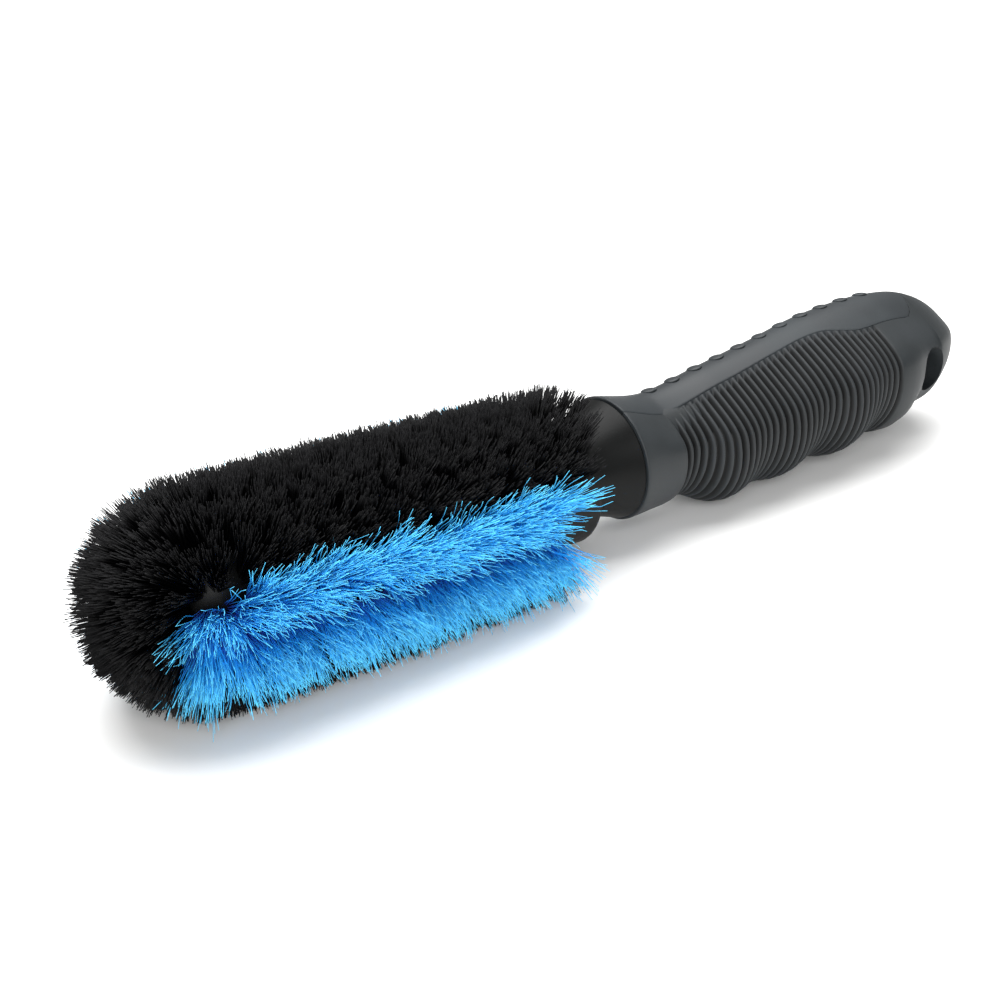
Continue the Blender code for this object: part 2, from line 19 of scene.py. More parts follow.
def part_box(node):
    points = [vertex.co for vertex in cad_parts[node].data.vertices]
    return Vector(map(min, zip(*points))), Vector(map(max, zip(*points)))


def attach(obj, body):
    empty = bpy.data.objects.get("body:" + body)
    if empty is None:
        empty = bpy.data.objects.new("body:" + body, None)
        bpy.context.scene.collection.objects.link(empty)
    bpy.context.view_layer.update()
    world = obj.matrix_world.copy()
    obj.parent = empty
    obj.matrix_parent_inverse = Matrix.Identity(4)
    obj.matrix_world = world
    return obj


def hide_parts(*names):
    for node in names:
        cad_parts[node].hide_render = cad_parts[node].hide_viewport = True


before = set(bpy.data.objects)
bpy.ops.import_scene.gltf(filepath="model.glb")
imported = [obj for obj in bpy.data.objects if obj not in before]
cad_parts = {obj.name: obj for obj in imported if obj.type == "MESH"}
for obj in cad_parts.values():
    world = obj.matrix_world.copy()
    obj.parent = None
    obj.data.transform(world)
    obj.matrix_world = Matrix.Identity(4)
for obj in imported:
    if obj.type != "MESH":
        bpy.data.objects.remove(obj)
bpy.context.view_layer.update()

# %% [markdown]
# ## Two frames to model in
#
# All sizes here are in millimetres. The grip is drawn along its own axis, with X = 0 at its front
# edge. The head tilts up a little towards its nose, so the block and its bristles are drawn along a
# second axis. Two matrices carry finished shapes from these frames to the CAD's place, in metres.

# %% Frames of the handle and the head
MM = 0.001
AXIS_HEIGHT = 21.4
HEAD_RISE = 3.9
HEAD_DROP = 4.0
grip_low, grip_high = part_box("soft_grip")
handle_frame = Matrix.Translation((grip_low.x, 0.0, AXIS_HEIGHT * MM)) @ Matrix.Scale(MM, 4)
head_frame = (handle_frame @ Matrix.Translation((0.0, 0.0, -HEAD_DROP))
              @ Matrix.Rotation(radians(HEAD_RISE), 4, "Y"))
print("grip front edge at x =", round(grip_low.x / MM, 2), "mm, grip length",
      round((grip_high.x - grip_low.x) / MM, 2), "mm")


# %% [markdown]
# ## Small helpers
#
# One function adds any node with its settings and links, so shader trees and geometry trees are
# built in the same way. Another turns a hex colour, as a colour card gives it, to the linear values
# that shaders work in. A third skins a row of rings into a closed body.

# %% Nodes and colours
def add_node(tree, kind, settings=None, sockets=None):
    """Adds one node, sets its properties, and fills its input sockets with values or links."""
    node = tree.nodes.new(kind)
    for key, value in (settings or {}).items():
        setattr(node, key, value)
    for key, value in (sockets or {}).items():
        if isinstance(value, bpy.types.NodeSocket):
            tree.links.new(value, node.inputs[key])
        else:
            node.inputs[key].default_value = value
    return node


def hex_colour(code):
    """Linear RGBA from an sRGB hex code."""
    shares = [int(code[i:i + 2], 16) / 255 for i in (1, 3, 5)]
    return (*[c / 12.92 if c <= 0.04045 else ((c + 0.055) / 1.055) ** 2.4 for c in shares], 1.0)


def put_in_scene(made):
    bpy.context.scene.collection.objects.link(made)


# %% Skinning rings into a piece
def skin_rings(rings):
    """Faces between neighbouring rings of equal point counts, with the two end rings filled."""
    bm = bmesh.new()
    loops = [[bm.verts.new(p) for p in ring] for ring in rings]
    count = len(loops[0])
    for a, b in zip(loops, loops[1:]):
        for i in range(count):
            j = (i + 1) % count
            bm.faces.new((a[i], a[j], b[j], b[i]))
    bm.faces.new(loops[0][::-1])
    bm.faces.new(loops[-1])
    bmesh.ops.recalc_face_normals(bm, faces=bm.faces[:])
    return bm


def finished_piece(name, bm, place, material=None, sharp_from=50):
    """An object at the origin whose mesh sits at its place on the brush, shaded smooth."""
    bm.transform(place)
    mesh = bpy.data.meshes.new(name)
    bm.to_mesh(mesh)
    bm.free()
    mesh.shade_smooth()
    mesh.set_sharp_from_angle(angle=radians(sharp_from))
    if material:
        mesh.materials.append(material)
    made = bpy.data.objects.new(name, mesh)
    put_in_scene(made)
    return made


def baked_copy(source, name):
    """The evaluated mesh of an object with modifiers, as a new plain object."""
    bpy.context.view_layer.update()
    graph = bpy.context.evaluated_depsgraph_get()
    mesh = bpy.data.meshes.new_from_object(source.evaluated_get(graph), depsgraph=graph)
    mesh.name = name
    made = bpy.data.objects.new(name, mesh)
    put_in_scene(made)
    bpy.data.objects.remove(source)
    made.name = name
    return made


# %% [markdown]
# ## Camera
#
# The brush is seen from its near side, a little from the nose end and from above, with a normal
# lens. The camera is placed from its turn, its height angle and its distance to the middle of the
# grip's front edge, which sits a little right of the middle of the view.

# %% Camera
CAMERA_TURN = radians(-37.943)
CAMERA_HEIGHT = radians(28.254)
CAMERA_DISTANCE = 0.391926
LENS = 56.63
SENSOR = 36.0
AIM_RIGHT = 0.1055   # where the aim point sits right of the view's middle, as a share of its width
AIM_UP = 0.0415      # and how far above the middle

back = Vector((sin(CAMERA_TURN) * cos(CAMERA_HEIGHT), -cos(CAMERA_TURN) * cos(CAMERA_HEIGHT),
               sin(CAMERA_HEIGHT)))
right = Vector((cos(CAMERA_TURN), sin(CAMERA_TURN), 0.0))
up = back.cross(right)
view_width = CAMERA_DISTANCE * SENSOR / LENS
aim = handle_frame.translation
camera_data = bpy.data.cameras.new("camera")
camera_data.lens = LENS
camera_data.sensor_width = SENSOR
camera_data.clip_start = 0.01
camera = bpy.data.objects.new("camera", camera_data)
put_in_scene(camera)
eye = aim + back * CAMERA_DISTANCE - right * AIM_RIGHT * view_width - up * AIM_UP * view_width
camera.matrix_world = Matrix.Translation(eye) @ Matrix((right, up, back)).transposed().to_4x4()
bpy.context.scene.camera = camera
print("camera at", [round(v, 3) for v in eye])

# %% [markdown]
# ## Floor and light
#
# A dark object with fine relief needs large soft lights: their broad reflections draw the ribs and
# the glints on the bristles. One big softbox hangs above, one stands on the camera's side, and a
# pale room fills the shadows.

# %% Floor
floor_bm = bmesh.new()
bmesh.ops.create_grid(floor_bm, x_segments=2, y_segments=2, size=6.0)
floor_material = bpy.data.materials.new("matt_studio_board")
floor_material.use_nodes = True
floor_shader = floor_material.node_tree.nodes["Principled BSDF"]
floor_shader.inputs["Base Color"].default_value = hex_colour("#f4f4f3")
floor_shader.inputs["Roughness"].default_value = 0.9
floor_shader.inputs["Specular IOR Level"].default_value = 0.2
floor = finished_piece("studio_floor", floor_bm, Matrix.Identity(4), floor_material)


# %% Lights and room
def softbox(name, place, target, width, height, watts):
    """A rectangular area light that faces its target."""
    data = bpy.data.lights.new(name, "AREA")
    data.shape = "RECTANGLE"
    data.size = width
    data.size_y = height
    data.energy = watts
    lamp = bpy.data.objects.new(name, data)
    lamp.location = place
    lamp.rotation_euler = (Vector(target) - Vector(place)).to_track_quat("-Z", "Y").to_euler()
    put_in_scene(lamp)


softbox("overhead_softbox", (0.1, 0.25, 0.9), (0.0, 0.0, 0.0), 1.2, 0.9, 20.0)
softbox("side_softbox", (-0.5, -0.8, 0.55), (0.0, 0.0, 0.02), 0.7, 0.7, 8.0)
room = bpy.data.worlds.new("pale_room")
room.use_nodes = True
room.node_tree.nodes["Background"].inputs["Color"].default_value = hex_colour("#ffffff")
room.node_tree.nodes["Background"].inputs["Strength"].default_value = 0.38
bpy.context.scene.world = room
bpy.context.scene.view_settings.view_transform = "Standard"


# %% [markdown]
# ## Moulded black polypropylene
#
# The core is injection moulded from black polypropylene: an IOR near 1.49, no metal, and a satin
# skin from a finely etched mould. The etching is a grain of about a third of a millimetre, a low
# bump, and the skin is a little glossier where hands and packing have rubbed it. The etching
# breaks up most of the mirror reflection, so its gleam is low.

# %% A shader to start from
def new_finish(name, base, roughness, ior, gleam=0.5):
    """A material and its shader, with typical values on the shader's own sockets."""
    made = bpy.data.materials.new(name)
    made.use_nodes = True
    shader = made.node_tree.nodes["Principled BSDF"]
    shader.inputs["Base Color"].default_value = hex_colour(base)
    shader.inputs["Roughness"].default_value = roughness
    shader.inputs["Metallic"].default_value = 0.0
    shader.inputs["IOR"].default_value = ior
    shader.inputs["Specular IOR Level"].default_value = gleam
    return made, shader


def moulded_surface(name, dark, light, gloss, matt, ior, grain_mm, grain_height_mm, cloud_mm, gleam,
                    paint_groove_shade=False):
    """A moulded polymer: slow drifts of colour and gloss, a fine grain, and painted shade in the grooves if
    asked.
    """
    made, shader = new_finish(name, dark, gloss, ior, gleam)
    tree = made.node_tree
    place = add_node(tree, "ShaderNodeTexCoord").outputs["Object"]
    cloud = add_node(tree, "ShaderNodeTexNoise", {},
                     {"Vector": place, "Scale": 1000 / cloud_mm, "Detail": 4.0})
    colour = add_node(tree, "ShaderNodeValToRGB", {}, {"Fac": cloud.outputs["Fac"]})
    colour.color_ramp.elements[0].position = 0.35
    colour.color_ramp.elements[0].color = hex_colour(dark)
    colour.color_ramp.elements[1].position = 0.65
    colour.color_ramp.elements[1].color = hex_colour(light)
    rub = add_node(tree, "ShaderNodeMapRange", {}, {"Value": cloud.outputs["Fac"], "From Min": 0.35,
                                                    "From Max": 0.65, "To Min": gloss, "To Max": matt})
    grain = add_node(tree, "ShaderNodeTexNoise", {},
                     {"Vector": place, "Scale": 1000 / grain_mm, "Detail": 2.0})
    relief = add_node(tree, "ShaderNodeBump", {}, {"Height": grain.outputs["Fac"], "Strength": 0.6,
                                                   "Distance": grain_height_mm * MM})
    skin = colour.outputs["Color"]
    # Painted shade: the colour is mixed towards near black by each point's groove value.
    if paint_groove_shade:
        painted_groove_shade = add_node(tree, "ShaderNodeAttribute", {"attribute_name": "painted_groove_shade"})
        darker = add_node(tree, "ShaderNodeMix", {"data_type": "RGBA"}, {0: painted_groove_shade.outputs["Fac"], 6: skin})
        darker.inputs[7].default_value = hex_colour("#030404")
        skin = darker.outputs[2]
    tree.links.new(skin, shader.inputs["Base Color"])
    tree.links.new(rub.outputs["Result"], shader.inputs["Roughness"])
    tree.links.new(relief.outputs["Normal"], shader.inputs["Normal"])
    return made


polypropylene = moulded_surface("moulded_black_polypropylene", "#060707", "#0b0c0c", 0.36, 0.46,
                                1.49, 0.35, 0.02, 14.0, 0.14)

# %% [markdown]
# ## Soft grip rubber
#
# The grip is a thermoplastic rubber moulded over the core. It is charcoal rather than black, and
# scatters light widely, with a faint sheen at grazing angles from its powdery skin. The smooth
# strip on top is the same rubber from a polished part of the mould, so it is a little glossier; its
# colour is painted a shade lighter, as painted light for the light that falls on the top. Each point
# of the grip carries a value that says how deep in a groove it lies, and that value darkens the
# grooves' colour with painted shade.

# %% Two rubbers
# The grip's finish paints shade into its grooves.
grip_rubber = moulded_surface("ribbed_thermoplastic_rubber", "#1f2325", "#282c2f", 0.5, 0.6,
                              1.5, 0.3, 0.03, 18.0, 0.35, paint_groove_shade=True)
# Painted light: the strip's colour is a shade lighter than the grip's, for the light on the top.
strip_rubber = moulded_surface("smooth_thermoplastic_rubber", "#222629", "#2a2f32", 0.47, 0.57,
                               1.5, 0.4, 0.02, 22.0, 0.35)
print("finishes:", polypropylene.name, grip_rubber.name, strip_rubber.name)

# %% [markdown]
# ## Bristle filaments
#
# The stiff bristles are drawn nylon, nearly black with small white glints along each filament. The
# soft ones are dyed blue PBT with split, feathery ends. Their colour is painted along each filament:
# a deep violet blue near the roots is painted shade, where little light reaches, then a clear blue,
# and a paler blue at the tips is a painted highlight. The black ones are painted a touch darker at
# the roots as well. Each filament carries two values that its finish reads: how far along it a
# point is, and its own tone.

# %% Filament finishes
def filament_finish(name, stops, tones, roughness, ior, gleam):
    """Colour from root to tip, made a little lighter or darker for each filament."""
    made, shader = new_finish(name, stops[-1][1], roughness, ior, gleam)
    tree = made.node_tree
    along = add_node(tree, "ShaderNodeAttribute", {"attribute_name": "along"})
    tone = add_node(tree, "ShaderNodeAttribute", {"attribute_name": "tone"})
    colour = add_node(tree, "ShaderNodeValToRGB", {}, {"Fac": along.outputs["Fac"]})
    ramp = colour.color_ramp
    while len(ramp.elements) < len(stops):
        ramp.elements.new(0.5)
    for element, (position, code) in zip(ramp.elements, stops):
        element.position = position
        element.color = hex_colour(code)
    lift = add_node(tree, "ShaderNodeMapRange", {}, {"Value": tone.outputs["Fac"], "To Min": tones[0],
                                                     "To Max": tones[1]})
    toned = add_node(tree, "ShaderNodeHueSaturation", {}, {"Color": colour.outputs["Color"],
                                                           "Value": lift.outputs["Result"]})
    worn = add_node(tree, "ShaderNodeMapRange", {}, {"Value": along.outputs["Fac"], "To Min": roughness,
                                                     "To Max": roughness + 0.2})
    tree.links.new(toned.outputs["Color"], shader.inputs["Base Color"])
    tree.links.new(worn.outputs["Result"], shader.inputs["Roughness"])
    return made


# Both ramps darken towards the roots as painted shade; the blue one pales at its tips as painted highlight.
black_nylon = filament_finish("drawn_black_nylon", [(0.0, "#040405"), (0.8, "#060607"), (1.0, "#0c0c0e")],
                              (0.6, 1.5), 0.27, 1.53, 0.13)
blue_filament = filament_finish("feathered_blue_pbt", [(0.0, "#4338b8"), (0.32, "#2a7fe6"), (0.62, "#27b0fa"),
                                                       (1.0, "#62d6ff")], (0.8, 1.25), 0.42, 1.55, 0.4)
print("filament finishes:", black_nylon.name, blue_filament.name)


# %% [markdown]
# ## Outline of the grip
#
# The grip is a rule, not a freehand shape: along the handle its half width, its height above the
# axis and its depth below it follow smooth curves through a few measured sections. Finger rolls
# swell from its underside, and its tail closes in a dome. The same rule, with the same numbers, made
# the CAD node, so the detailed skin lies on it. The section is an egg with its narrow end on top,
# and the whole grip is turned eighteen degrees about its axis, its top away from the near side.

# %% Sections along the grip
GRIP_LENGTH = 129.0
TAIL_LENGTH = 22.0
COLLAR_RADIUS = 16.0
GRIP_OUTLINE = (   # distance from the front edge, half width, height above and depth below the axis
    (0.0, COLLAR_RADIUS, COLLAR_RADIUS, COLLAR_RADIUS), (15.0, 14.4, 12.9, 16.4),
    (35.0, 17.5, 14.7, 21.2), (55.0, 18.5, 16.8, 20.4), (75.0, 20.3, 19.1, 20.2),
    (95.0, 19.6, 19.5, 19.1), (108.0, 16.8, 18.2, 16.2), (GRIP_LENGTH, 12.0, 14.0, 9.0))
FINGER_PITCH = 21.7
FINGER_ROLL = 2.0
FIRST_HOLLOW = 20.4
SIDE_HOLLOW = 1.35    # how far the finger hollows bite into the sides, as a share of their depth
CROWN_PINCH = 0.38    # how much narrower than an oval the top is
CROWN_SPREAD = 0.45   # how far down the sides that narrowing reaches
PINCH_START = 15.0    # distance from the front edge at which the narrowing is complete
UNDERSIDE_START = 0.35
UNDERSIDE_RISE = 0.8  # how fast the hollows deepen from the sides to the underside
TAIL_POWER = 2.4      # roundness of the tail's dome
HOLLOW_START = 8.0
HOLLOW_STOP = 112.0
HOLLOW_FADE = 8.0     # length over which the hollows fade at both ends
GRIP_ROLL = 18.0      # degrees that the grip is turned about its axis
grip_frame = handle_frame @ Matrix.Rotation(radians(-GRIP_ROLL), 4, "X")


def clipped(value, low=0.0, high=1.0):
    return min(max(value, low), high)


def smooth_curve(points, x):
    """Natural-looking curve through (x, value) pairs: cubic Hermite with averaged slopes."""
    xs = [p[0] for p in points]
    ys = [p[1] for p in points]
    k = min(max(int(np.searchsorted(xs, x)) - 1, 0), len(xs) - 2)

    def slope(i):
        low, high = max(i - 1, 0), min(i + 1, len(xs) - 1)
        return (ys[high] - ys[low]) / (xs[high] - xs[low])

    span = xs[k + 1] - xs[k]
    t = (x - xs[k]) / span
    return ((2 * t**3 - 3 * t**2 + 1) * ys[k] + (t**3 - 2 * t**2 + t) * span * slope(k)
            + (3 * t**2 - 2 * t**3) * ys[k + 1] + (t**3 - t**2) * span * slope(k + 1))


def tail_closing(x):
    s = clipped((x - (GRIP_LENGTH - TAIL_LENGTH)) / TAIL_LENGTH)
    return max(1.0 - s**TAIL_POWER, 0.0) ** (1 / TAIL_POWER)


def finger_hollow(x):
    fade = clipped((x - HOLLOW_START) / HOLLOW_FADE) * clipped((HOLLOW_STOP - x) / HOLLOW_FADE)
    return FINGER_ROLL * fade * (0.5 + 0.5 * cos(2 * pi * (x - FIRST_HOLLOW) / FINGER_PITCH))


def section(x):
    """Half width, centre height, half height, hollow and closing of the grip's section at x."""
    half_width, above, below = (smooth_curve([(p[0], p[i]) for p in GRIP_OUTLINE], x) for i in (1, 2, 3))
    return half_width, (above - below) / 2, (above + below) / 2, finger_hollow(x), tail_closing(x)


def grip_point(x, angle, depth=0.0):
    """Point on the grip's skin at x and an angle from the near side over the top, sunk by depth."""
    half_width, centre, half_height, hollow, close = section(x)
    c, s = cos(angle), sin(angle)
    low = clipped(UNDERSIDE_START - UNDERSIDE_RISE * s)
    high = max(s, 0.0) ** 2
    pinch = CROWN_PINCH * min(x / PINCH_START, 1.0) * (1.0 + CROWN_SPREAD) * high / (CROWN_SPREAD + high)
    y = -(half_width - SIDE_HOLLOW * hollow * low - depth) * c * (1.0 - pinch)
    z = centre + (half_height - depth) * s + hollow * max(-s, 0.0)
    return Vector((x, y * close, centre + (z - centre) * close))


print("grip height at its swell:", round(2 * section(75.0)[2], 1), "mm")

# %% [markdown]
# ## Ribbed grip
#
# Thirty-four fine ribs run round the grip and stop at the edge of the smooth strip. Each groove is
# narrow with a rounded floor, and each rib has a rounded crest, so each rib takes nine
# sections. The skin is a grid of such sections. One grid line on each side follows the strip's
# edge, so the grooves end there in a clean line, and between those lines the grid sinks to the
# floor of the strip's pocket.

# %% Ribs and the strip's edge
RIB_COUNT = 34
RIB_PITCH = 2.25
FIRST_GROOVE = 15.6
GROOVE_DEPTH = 1.45
GROOVE_SHARPNESS = 1.5
RIB_STEPS = 9
STRIP_SHOULDER = 104.0
STRIP_END = 112.0
STRIP_EDGE = ((-2.0, 10.5), (8.0, 8.9), (18.0, 7.9), (40.0, 7.8), (62.0, 7.5), (73.0, 8.4), (84.0, 11.2),
              (95.0, 11.2), (STRIP_SHOULDER, 10.8))
POCKET_DEPTH = 1.6
TOP_STEPS = 18
SIDE_STEPS = 132


def strip_half_width(x):
    """Half width of the smooth strip, which flares at the tail and closes in a round end."""
    turn = clipped((x - STRIP_SHOULDER) / (STRIP_END - STRIP_SHOULDER))
    return max(smooth_curve(STRIP_EDGE, min(x, STRIP_SHOULDER)) * sqrt(1.0 - turn**2), 0.5)


def groove_depth(x):
    """Depth below the ribs' crests, rounded at the crest and narrow at the groove's floor."""
    offset = (x - FIRST_GROOVE) / RIB_PITCH
    if offset < -0.5 or offset > RIB_COUNT - 0.5:
        return 0.0
    return GROOVE_DEPTH * (0.5 + 0.5 * cos(2 * pi * offset)) ** GROOVE_SHARPNESS


def angle_at_width(x, width):
    """Angle at which the skin above the axis is this far from the grip's mid plane, by bisection."""
    low, high = 0.3, pi / 2
    for _ in range(24):
        middle = (low + high) / 2
        if abs(grip_point(x, middle).y) > width:
            low = middle
        else:
            high = middle
    return low


def grip_section(x, trim=0.0):
    """One ring of the grip: round the sides and underside, then down into the pocket and across it."""
    edge = angle_at_width(x, strip_half_width(x))
    groove = groove_depth(x)
    in_pocket = x < STRIP_END
    ring = []
    for i in range(SIDE_STEPS + 1):
        share = i / SIDE_STEPS
        angle = pi - edge + (pi + 2 * edge) * share
        near_edge = min(share, 1.0 - share) * SIDE_STEPS
        fade = clipped(near_edge - 0.5)
        ring.append(grip_point(x, angle, groove * fade + trim))
    for i in range(TOP_STEPS + 1):
        angle = edge + (pi - 2 * edge) * i / TOP_STEPS
        ring.append(grip_point(x, angle, POCKET_DEPTH if in_pocket else trim + 0.01))
    return ring


# %% The grip's skin, socket and tail
TANG_RADIUS = 11.6
SOCKET_END = 60.0
grip_stations = [0.0, 0.12, 0.4, 1.0, 3.0, 6.0, 9.0, 11.5, 13.5, 14.4]
grip_stations += [FIRST_GROOVE + RIB_PITCH * (i / RIB_STEPS - 0.5)
                  for i in range(RIB_STEPS * RIB_COUNT + 1)]
grip_stations += [92.5, 95.0, 98.0, 101.0, 104.0, 106.0, 108.0, 109.5, 110.7, 111.5, 111.9, 112.0, 113.5,
                  115.5]
grip_stations += [GRIP_LENGTH - TAIL_LENGTH * (1 - sin(t)) for t in np.linspace(0.55, 1.54, 22)]
FRONT_ROUND = {0.0: 0.45, 0.12: 0.18, 0.4: 0.03}
grip_rings = [grip_section(x, FRONT_ROUND.get(x, 0.0)) for x in grip_stations]
mouth = [Vector((0.0, p.y, p.z)).normalized() * TANG_RADIUS for p in grip_rings[0]]
socket_floor = [Vector((SOCKET_END, p.y * 0.9, p.z * 0.9)) for p in mouth]
grip_body = finished_piece("grip_blank", skin_rings([socket_floor, mouth] + grip_rings), grip_frame)
print("grip skin:", len(grip_body.data.polygons), "faces")

# %% [markdown]
# ## Hanging hole
#
# An oval hole crosses the tail so that the brush hangs from a hook. Its rim is soft in the rubber,
# so the cutter widens towards both ends like a trumpet before a Boolean takes it from the grip.

# %% Cut the hanging hole
HOLE_CENTRE = (108.0, -4.5)
HOLE_HALF = (4.5, 5.75)
HOLE_STEPS = 48
hole_rings = []
for y, flare in ((-30.0, 3.2), (-17.8, 1.6), (-16.0, 0.75), (-14.2, 0.25), (-12.0, 0.0),
                 (12.0, 0.0), (14.2, 0.25), (16.0, 0.75), (17.8, 1.6), (30.0, 3.2)):
    hole_rings.append([Vector((HOLE_CENTRE[0] + (HOLE_HALF[0] + flare) * cos(2 * pi * k / HOLE_STEPS), y,
                               HOLE_CENTRE[1] + (HOLE_HALF[1] + flare) * sin(2 * pi * k / HOLE_STEPS)))
                       for k in range(HOLE_STEPS)])
hole_cutter = finished_piece("hole_cutter", skin_rings(hole_rings), grip_frame)
cut = grip_body.modifiers.new("hanging_hole", "BOOLEAN")
cut.operation = "DIFFERENCE"
cut.solver = "EXACT"
cut.object = hole_cutter
soft_grip = baked_copy(grip_body, "ribbed_grip")
bpy.data.objects.remove(hole_cutter)
soft_grip.data.materials.clear()
soft_grip.data.materials.append(grip_rubber)
# Painted shade: each point stores how much shade to paint in, by its depth in a groove.
GROOVE_SHADE_REACH = 2.4   # above 1 the dark spreads from the groove's floor up its walls
to_grip = grip_frame.inverted()
painted_groove_shade = soft_grip.data.attributes.new("painted_groove_shade", "FLOAT", "POINT")
for vertex, store in zip(soft_grip.data.vertices, painted_groove_shade.data):
    p = to_grip @ vertex.co
    beside = abs(p.y) - strip_half_width(p.x)
    shade = clipped(GROOVE_SHADE_REACH * groove_depth(p.x) / GROOVE_DEPTH)
    store.value = shade * clipped(2.0 * beside if p.z > 0 else 1.0)
soft_grip.data.shade_smooth()
soft_grip.data.set_sharp_from_angle(angle=radians(50))
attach(soft_grip, "root")
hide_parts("soft_grip")
print("ribbed grip:", len(soft_grip.data.polygons), "faces")

# %% [markdown]
# ## Smooth strip with its dots
#
# The strip is a separate moulding let into the top of the grip. It is drawn with the same rule for
# the skin, a hair narrower than its pocket, with rounded edges. Its row of raised dots repeats, so
# Geometry Nodes stands one shallow button on each point of the strip's crown.

# %% The strip's body
STRIP_SEAM = 0.07
STRIP_PROUD = 0.04
STRIP_ROUND = 0.3


def strip_section(x, shrink=0.0):
    """One ring of the strip: over the top from edge to edge, then back along its underside."""
    half_width = section(x)[0]
    edge = angle_at_width(x, max(strip_half_width(x) - STRIP_SEAM - shrink, 0.2))
    ring = []
    steps = 28
    for i in range(steps + 1):
        share = 0.5 - 0.5 * cos(pi * i / steps)
        angle = edge + (pi - 2 * edge) * share
        from_edge = min(share, 1.0 - share) * (pi - 2 * edge) * half_width
        rounding = STRIP_ROUND * (1.0 - sqrt(1.0 - (1.0 - clipped(from_edge / STRIP_ROUND)) ** 2))
        ring.append(grip_point(x, angle, rounding + shrink - STRIP_PROUD))
    for i in range(steps + 1):
        share = 0.5 + 0.5 * cos(pi * i / steps)
        angle = edge + (pi - 2 * edge) * share
        ring.append(grip_point(x, angle, POCKET_DEPTH - 0.15))
    return ring


strip_stations = [0.15, 0.3, 0.6] + list(np.linspace(1.5, STRIP_SHOULDER, 110))
strip_stations += [STRIP_SHOULDER + (STRIP_END - 0.15 - STRIP_SHOULDER) * sin(t)
                   for t in np.linspace(0.1, pi / 2, 14)]
SHRINK = {0.15: 0.25, 0.3: 0.08}
strip_bm = skin_rings([strip_section(x, SHRINK.get(x, 0.0)) for x in strip_stations])
strip_body = finished_piece("strip_body", strip_bm, grip_frame, strip_rubber, 40)

# %% Raised dots on the strip
DOT_COUNT = 11
FIRST_DOT = 17.5
DOT_PITCH = 8.15
DOT_DIAMETER = 4.2
DOT_HEIGHT = 0.6


def dots_tree():
    tree = bpy.data.node_groups.new("strip_dots", "GeometryNodeTree")
    tree.is_modifier = True
    tree.interface.new_socket("Geometry", in_out="INPUT", socket_type="NodeSocketGeometry")
    tree.interface.new_socket("Strip", in_out="INPUT", socket_type="NodeSocketObject")
    tree.interface.new_socket("Dot radius", in_out="INPUT", socket_type="NodeSocketFloat")
    tree.interface.new_socket("Dot height", in_out="INPUT", socket_type="NodeSocketFloat")
    tree.interface.new_socket("Finish", in_out="INPUT", socket_type="NodeSocketMaterial")
    tree.interface.new_socket("Geometry", in_out="OUTPUT", socket_type="NodeSocketGeometry")
    given = tree.nodes.new("NodeGroupInput").outputs
    button = add_node(tree, "GeometryNodeMeshUVSphere", {}, {"Segments": 32, "Rings": 16, "Radius": 1.0})
    smooth = add_node(tree, "GeometryNodeSetShadeSmooth", {}, {"Geometry": button.outputs["Mesh"]})
    size = add_node(tree, "ShaderNodeCombineXYZ", {}, {"X": given["Dot radius"], "Y": given["Dot radius"],
                                                       "Z": given["Dot height"]})
    leaning = add_node(tree, "GeometryNodeInputNamedAttribute", {"data_type": "FLOAT_VECTOR"},
                       {"Name": "crown"})
    turn = add_node(tree, "FunctionNodeAlignRotationToVector", {"axis": "Z"},
                    {"Vector": leaning.outputs["Attribute"]})
    spots = add_node(tree, "GeometryNodeMeshToPoints", {}, {"Mesh": given["Geometry"]})
    stood = add_node(tree, "GeometryNodeInstanceOnPoints", {}, {
        "Points": spots.outputs["Points"], "Instance": smooth.outputs["Geometry"],
        "Rotation": turn.outputs["Rotation"], "Scale": size.outputs["Vector"]})
    real = add_node(tree, "GeometryNodeRealizeInstances", {}, {"Geometry": stood.outputs["Instances"]})
    strip = add_node(tree, "GeometryNodeObjectInfo", {"transform_space": "ORIGINAL"},
                     {"Object": given["Strip"]})
    joined = add_node(tree, "GeometryNodeJoinGeometry")
    tree.links.new(strip.outputs["Geometry"], joined.inputs["Geometry"])
    tree.links.new(real.outputs["Geometry"], joined.inputs["Geometry"])
    coated = add_node(tree, "GeometryNodeSetMaterial", {}, {"Geometry": joined.outputs["Geometry"],
                                                            "Material": given["Finish"]})
    add_node(tree, "NodeGroupOutput", {}, {"Geometry": coated.outputs["Geometry"]})
    return tree


def set_inputs(modifier, values):
    """Sets a Geometry Nodes modifier's inputs, found by name and set by identifier."""
    for item in modifier.node_group.interface.items_tree:
        if item.item_type == "SOCKET" and item.in_out == "INPUT" and item.name in values:
            modifier[item.identifier] = values[item.name]


crown_mesh = bpy.data.meshes.new("strip_crown")
crown_points = []
crown_normals = []
for i in range(DOT_COUNT):
    x = FIRST_DOT + i * DOT_PITCH
    here, there = grip_point(x, pi / 2), grip_point(x + 0.5, pi / 2)
    along = (there - here).normalized()
    crown_points.append(grip_frame @ here)
    crown_normals.append(grip_frame.to_3x3().normalized() @ Vector((-along.z, 0.0, along.x)))
crown_mesh.from_pydata(crown_points, [], [])
leaning = crown_mesh.attributes.new("crown", "FLOAT_VECTOR", "POINT")
leaning.data.foreach_set("vector", np.array(crown_normals, np.float32).ravel())
crown = bpy.data.objects.new("strip_crown", crown_mesh)
put_in_scene(crown)
grow = crown.modifiers.new("dots", "NODES")
grow.node_group = dots_tree()
set_inputs(grow, {"Strip": strip_body, "Dot radius": DOT_DIAMETER / 2 * MM, "Dot height": DOT_HEIGHT * MM,
                  "Finish": strip_rubber})
smooth_strip = baked_copy(crown, "dotted_strip")
bpy.data.objects.remove(strip_body)
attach(smooth_strip, "root")
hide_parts("grip_top_strip")
print("dotted strip:", len(smooth_strip.data.polygons), "faces,", DOT_COUNT, "dots")

